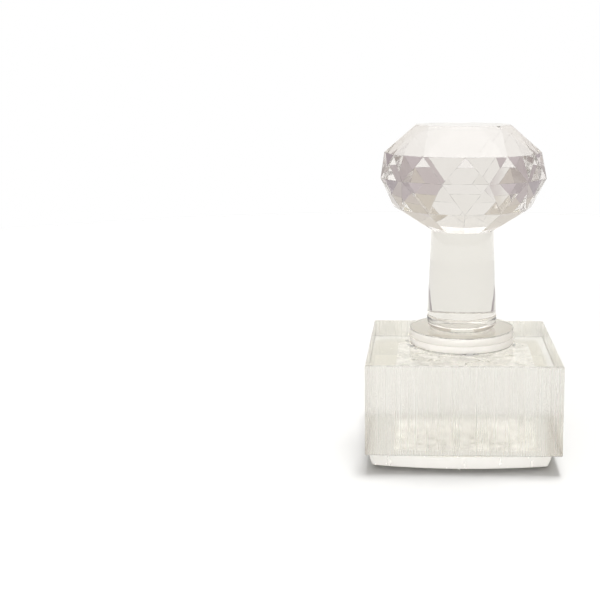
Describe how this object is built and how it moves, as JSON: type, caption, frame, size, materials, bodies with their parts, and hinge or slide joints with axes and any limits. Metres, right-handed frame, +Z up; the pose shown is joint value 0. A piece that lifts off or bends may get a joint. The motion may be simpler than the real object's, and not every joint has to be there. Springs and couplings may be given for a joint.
{
  "type": "hand stamp",
  "caption": "Clear acrylic hand stamp: a faceted knob on a tapered stem and foot disc, stuck to a square block with an engraved, cushion-shaped die plate underneath.",
  "frame": {"origin": "on the surface it stands on, under the centre of the square block", "axes": "+Z up through the knob; +X to the right and -Y towards the viewer, each square to a side of the block"},
  "size_m": [0.04, 0.04, 0.0701],
  "materials": {
    "knob_acrylic": "polished",
    "clear_acrylic": "polished",
    "sawn_acrylic": "gloss",
    "clear_adhesive": "satin"
  },
  "bodies": {
    "root": {"faceted_knob": "knob_acrylic", "stem": "clear_acrylic", "collar": "clear_acrylic", "foot_flange": "clear_acrylic", "foot_pad": "clear_adhesive", "stamp_block": "sawn_acrylic", "bonding_film": "clear_adhesive", "die_plate": "clear_acrylic"}
  },
  "joints": []
}
